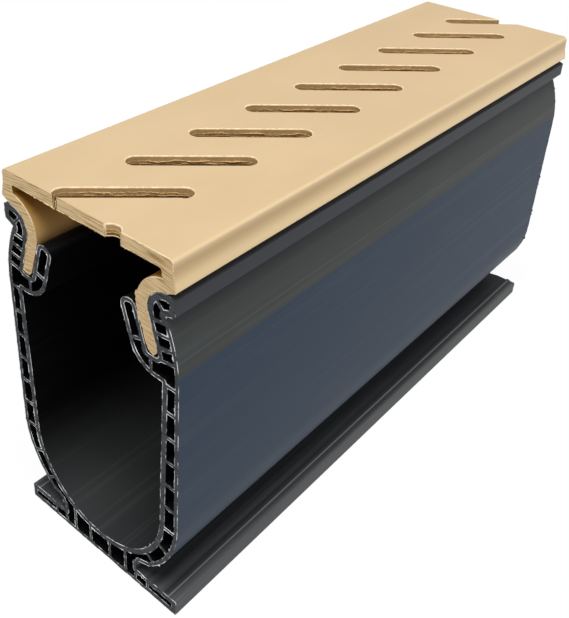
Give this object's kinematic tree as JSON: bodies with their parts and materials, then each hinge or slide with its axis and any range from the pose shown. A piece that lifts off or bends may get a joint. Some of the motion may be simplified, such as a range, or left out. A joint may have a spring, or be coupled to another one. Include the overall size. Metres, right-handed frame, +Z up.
{
  "type": "channel drain",
  "caption": "Length of slim deck drain: a hollow-walled channel on a flanged foot, with a slotted cover hooked over its rims.",
  "frame": {"origin": "middle of the underside of the foot, half way along the cut length", "axes": "+Z up to the deck face, +Y along the run, X across the channel"},
  "size_m": [0.056, 0.182, 0.102],
  "materials": {
    "channel": "extruded rigid vinyl, charcoal, low sheen, saw-cut ends",
    "cover": "extruded rigid vinyl, tan, satin, routed slots and saw-cut ends"
  },
  "bodies": {
    "root": {"channel_body": "channel", "slotted_cover": "cover"}
  },
  "joints": []
}
